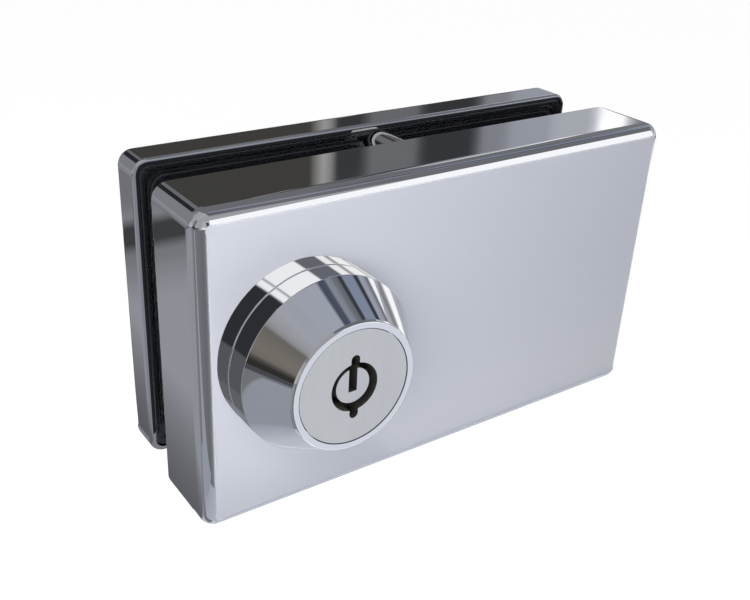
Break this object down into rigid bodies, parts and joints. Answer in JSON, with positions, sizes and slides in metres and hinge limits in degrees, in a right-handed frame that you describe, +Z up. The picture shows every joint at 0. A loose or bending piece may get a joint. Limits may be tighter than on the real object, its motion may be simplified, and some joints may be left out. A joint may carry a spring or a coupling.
{
  "type": "glass cabinet door lock",
  "caption": "Glass door lock with a chromed case, a tubular key cylinder in a conical collar, a rack-driven sliding bolt and a back plate that clamps the glass.",
  "frame": {"origin": "middle of the bottom edge, under the centre of the whole lock", "axes": "+X to the right seen from the key side, the way the bolt is thrown; +Y away from the person at the key; +Z up"},
  "size_m": [0.1128, 0.0558, 0.065],
  "materials": {
    "case_chrome": "satin on the front face, polished on the other faces",
    "polished_chrome": "mirror polish",
    "satin_nickel": "fine satin",
    "steel": "plain zinc-plated steel",
    "brass": "machined",
    "black_rubber": "smooth moulded",
    "black_plastic": "gloss moulded",
    "nylon": "moulded"
  },
  "bodies": {
    "housing": {"case_shell": "case_chrome", "lock_chassis": "steel", "chassis_screws": "steel", "front_gasket": "black_rubber", "base_ring": "polished_chrome", "cone_collar": "polished_chrome", "cylinder_body": "satin_nickel", "cylinder_sleeve": "brass", "driver_pins": "steel", "pin_springs": "steel", "retaining_pin": "steel", "lock_washer": "steel", "cylinder_nut": "steel", "inner_bolt_guide": "nylon", "outer_bolt_guide": "nylon", "rack_guide": "nylon", "guide_screws": "steel", "travel_pin": "steel", "tie_studs": "steel", "spacer_sleeves": "polished_chrome", "back_shell": "polished_chrome", "back_insert": "black_plastic", "back_bead": "black_rubber", "clamp_screws": "steel"},
    "key_spindle": {"cylinder_spindle": "satin_nickel", "key_pins": "brass", "pinion": "brass", "pinion_screw": "steel"},
    "sliding_bolt": {"bolt": "steel"}
  },
  "joints": [
    {"name": "key_turn", "type": "hinge", "parent": "housing", "child": "key_spindle", "pos_m": [-0.0356, 0, 0.03575], "axis": [0, 1, 0], "range_deg": [0, 180]},
    {"name": "bolt_slide", "type": "slide", "parent": "housing", "child": "sliding_bolt", "axis": [1, 0, 0], "range_m": [0, 0.01414]}
  ],
  "couplings": [
    {"joint": "key_turn", "follows": "bolt_slide", "rad_per_m": 222.22}
  ]
}
